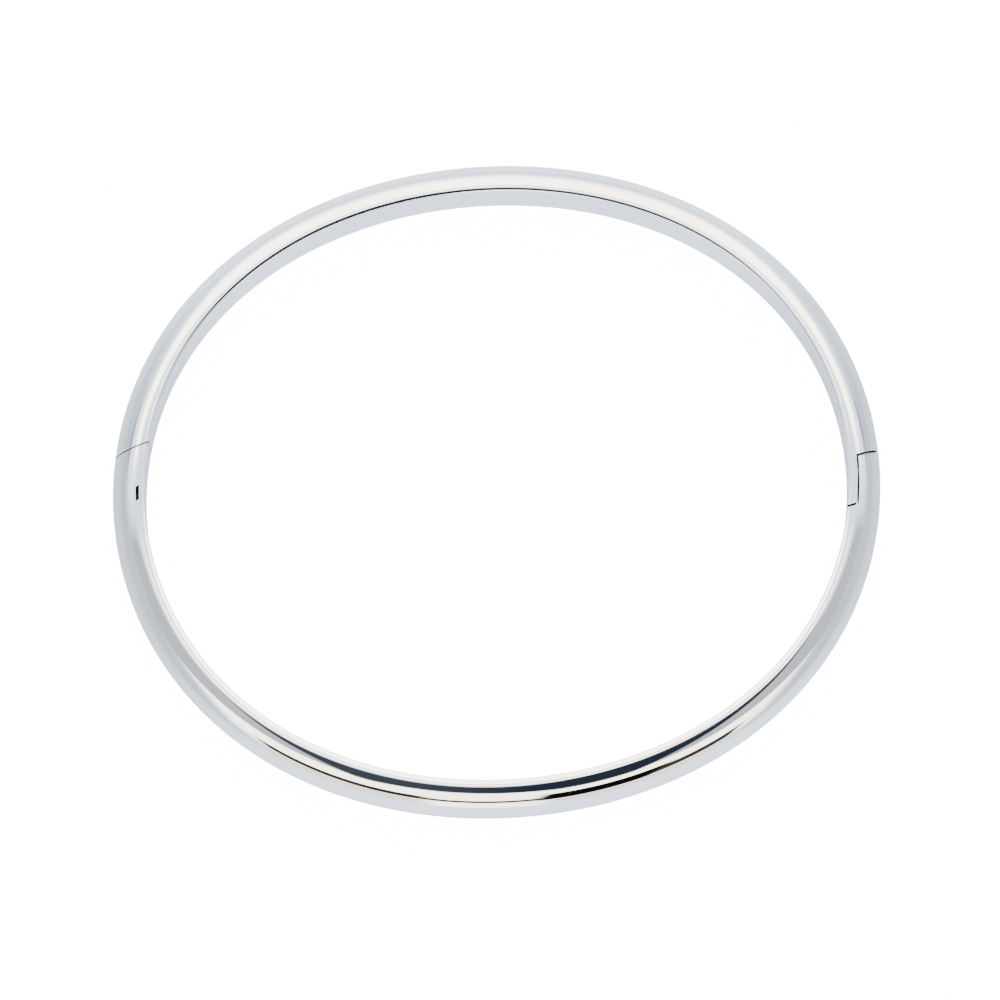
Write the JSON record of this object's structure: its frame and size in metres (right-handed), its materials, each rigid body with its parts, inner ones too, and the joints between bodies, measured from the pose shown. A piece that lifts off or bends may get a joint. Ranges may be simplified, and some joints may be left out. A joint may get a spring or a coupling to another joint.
{
  "type": "hinged bangle bracelet",
  "caption": "Oval hinged bangle bracelet: a polished half-round tube in two halves that swing open on a hidden pin and close on a sprung tongue.",
  "frame": {"origin": "under the middle of the oval, on the surface the bangle lies on", "axes": "+X from the clasp to the hinge, +Y to the half that carries the tongue, +Z along the wrist"},
  "size_m": [0.0652, 0.0568, 0.0048],
  "materials": {
    "polished_shell": "mirror polished, with fine wear scratches",
    "polished_lug": "mirror polished outside, plain inside",
    "inner_metal": "filed and lightly polished",
    "pin_steel": "drawn wire",
    "tongue_metal": "hard rolled strip, fine lengthwise lines"
  },
  "bodies": {
    "far_half": {"far_half_shell": "polished_shell", "hinge_fork": "inner_metal", "hinge_pin": "pin_steel", "clasp_plug": "inner_metal", "tongue_blade": "tongue_metal", "leaf_rivet": "pin_steel"},
    "near_half": {"near_half_shell": "polished_shell", "hinge_lug": "polished_lug", "receiver_channel": "inner_metal"},
    "leaf": {"catch_leaf": "tongue_metal"}
  },
  "joints": [
    {"name": "bangle_hinge", "type": "hinge", "parent": "far_half", "child": "near_half", "pos_m": [0.03138, 0.0032, 0.0024], "axis": [0, 0, 1], "range_deg": [0, 48]},
    {"name": "leaf_flex", "type": "hinge", "parent": "far_half", "child": "leaf", "pos_m": [-0.03063, -0.00017, 0.00232], "axis": [1, 0, 0], "range_deg": [-5, 0], "stiffness_Nm_per_rad": 0.005}
  ]
}
